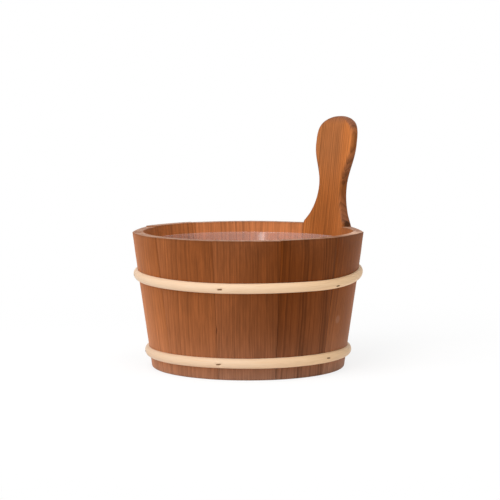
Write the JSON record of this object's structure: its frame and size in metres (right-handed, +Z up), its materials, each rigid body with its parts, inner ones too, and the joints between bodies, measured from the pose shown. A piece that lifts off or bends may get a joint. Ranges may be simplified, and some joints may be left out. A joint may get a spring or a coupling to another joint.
{
  "type": "sauna bucket",
  "caption": "Low coopered wooden sauna bucket with willow hoops, one stave drawn up into a paddle handle, and a loose plastic liner for water.",
  "frame": {"origin": "centre of the foot circle, on the ground the bucket stands on", "axes": "+Z up along the bucket's axis; the handle stands between +X and +Y, at 45 degrees to both"},
  "size_m": [0.2394, 0.2394, 0.2567],
  "materials": {
    "stave_wood": "planed heat-treated softwood, waxed",
    "handle_wood": "sanded heat-treated softwood, waxed",
    "base_wood": "planed heat-treated softwood",
    "hoop_willow": "peeled split willow",
    "staple_steel": "darkened wire",
    "liner_plastic": "milky see-through moulding"
  },
  "bodies": {
    "bucket": {"handle_stave": "handle_wood", "stave_01": "stave_wood", "stave_02": "stave_wood", "stave_03": "stave_wood", "stave_04": "stave_wood", "stave_05": "stave_wood", "stave_06": "stave_wood", "stave_07": "stave_wood", "stave_08": "stave_wood", "stave_09": "stave_wood", "stave_10": "stave_wood", "upper_hoop": "hoop_willow", "lower_hoop": "hoop_willow", "upper_staple_1": "staple_steel", "upper_staple_2": "staple_steel", "upper_staple_3": "staple_steel", "upper_staple_4": "staple_steel", "upper_staple_5": "staple_steel", "upper_staple_6": "staple_steel", "lower_staple_1": "staple_steel", "lower_staple_2": "staple_steel", "lower_staple_3": "staple_steel", "lower_staple_4": "staple_steel", "lower_staple_5": "staple_steel", "lower_staple_6": "staple_steel", "base_board_1": "base_wood", "base_board_2": "base_wood", "base_board_3": "base_wood"},
    "liner": {"liner": "liner_plastic"}
  },
  "joints": [
    {"name": "liner_lift", "type": "slide", "parent": "bucket", "child": "liner", "axis": [0, 0, 1], "range_m": [0, 0.15]}
  ]
}
